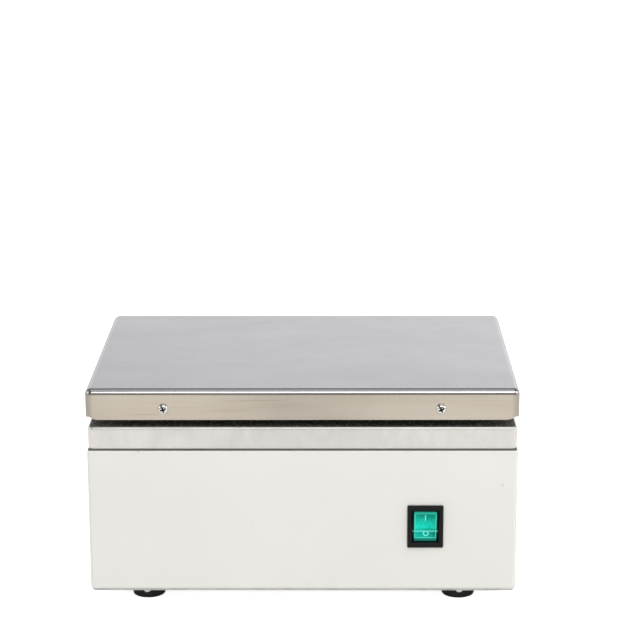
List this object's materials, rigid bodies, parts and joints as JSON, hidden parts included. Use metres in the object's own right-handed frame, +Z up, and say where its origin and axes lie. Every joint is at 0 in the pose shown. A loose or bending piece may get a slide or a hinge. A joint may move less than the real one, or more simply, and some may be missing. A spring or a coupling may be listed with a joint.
{
  "type": "hot plate",
  "caption": "Laboratory hot plate: a flat folded stainless steel hot surface held by an air gap above a steel heat shield and a painted housing with a rocker switch and rubber feet.",
  "frame": {"origin": "middle of the footprint, on the bench under the feet", "axes": "+X to the right of the user, +Y to the back, +Z up; the switch is on the front, which faces -Y"},
  "size_m": [0.31, 0.2229, 0.1617],
  "materials": {
    "cover_steel": "ground stainless sheet, soft satin reflections",
    "shield_steel": "bright stainless sheet with light smudges",
    "housing_paint": "warm off-white powder paint, satin",
    "zinc_sheet": "zinc-coated sheet steel",
    "bright_screws": "bright stainless screws",
    "zinc_fasteners": "zinc-plated fasteners",
    "foot_rubber": "black moulded rubber",
    "bush_rubber": "black moulded rubber",
    "switch_black": "black thermoplastic, fine texture",
    "rocker_green": "translucent green thermoplastic, glossy",
    "lamp_glass": "clear glass indicator tube",
    "mica": "pressed mica sheet, pearly",
    "resistance_ribbon": "nickel-chromium ribbon, heat tinted",
    "brass": "plain brass",
    "white_ceramic": "unglazed white steatite",
    "block_ceramic": "white glazed porcelain",
    "fibre": "white ceramic-fibre board",
    "lead_blue": "blue insulated wire",
    "lead_brown": "brown insulated wire",
    "lead_green_yellow": "green and yellow insulated earth wire",
    "lead_glass": "white braided glass sleeving over heat-proof wire",
    "tinned": "tinned copper lug"
  },
  "bodies": {
    "base": {"base_plate": "zinc_sheet", "base_screws": "zinc_fasteners", "block_clamp_screws": "brass", "block_mounting_screws": "zinc_fasteners", "cord_bush": "bush_rubber", "cover_clinch_nuts": "bright_screws", "cover_screws": "bright_screws", "cover_studs": "bright_screws", "earth_lead": "lead_green_yellow", "earth_lug": "tinned", "earth_nut": "zinc_fasteners", "earth_stud": "zinc_fasteners", "foot_back_left": "foot_rubber", "foot_back_right": "foot_rubber", "foot_front_left": "foot_rubber", "foot_front_right": "foot_rubber", "foot_nuts": "zinc_fasteners", "foot_screws": "zinc_fasteners", "foot_washers": "zinc_fasteners", "heat_shield": "shield_steel", "heater_core_left": "mica", "heater_core_right": "mica", "heater_lead_left": "lead_glass", "heater_lead_right": "lead_glass", "heater_terminals": "brass", "heating_ribbon_left": "resistance_ribbon", "heating_ribbon_right": "resistance_ribbon", "housing": "housing_paint", "insulation_pad": "fibre", "insulation_tray": "zinc_sheet", "line_lead": "lead_brown", "lower_mica": "mica", "neutral_lead": "lead_blue", "pressure_plate": "zinc_sheet", "shield_screws": "zinc_fasteners", "spacer_bolts": "zinc_fasteners", "spacer_nuts": "zinc_fasteners", "spacer_washers": "zinc_fasteners", "spacers": "zinc_fasteners", "stud_nuts": "bright_screws", "stud_washers": "bright_screws", "switch_body": "switch_black", "switch_lamp": "lamp_glass", "switch_terminals": "brass", "terminal_beads": "white_ceramic", "terminal_block": "block_ceramic", "terminal_nuts": "brass", "top_cover": "cover_steel", "upper_mica": "mica", "wire_sleeve": "white_ceramic"},
    "rocker": {"switch_rocker": "rocker_green"}
  },
  "joints": [
    {"name": "rocker_hinge", "type": "hinge", "parent": "base", "child": "rocker", "pos_m": [0.0885, -0.1065, 0.059], "axis": [1, 0, 0], "range_deg": [-24, 0]}
  ]
}
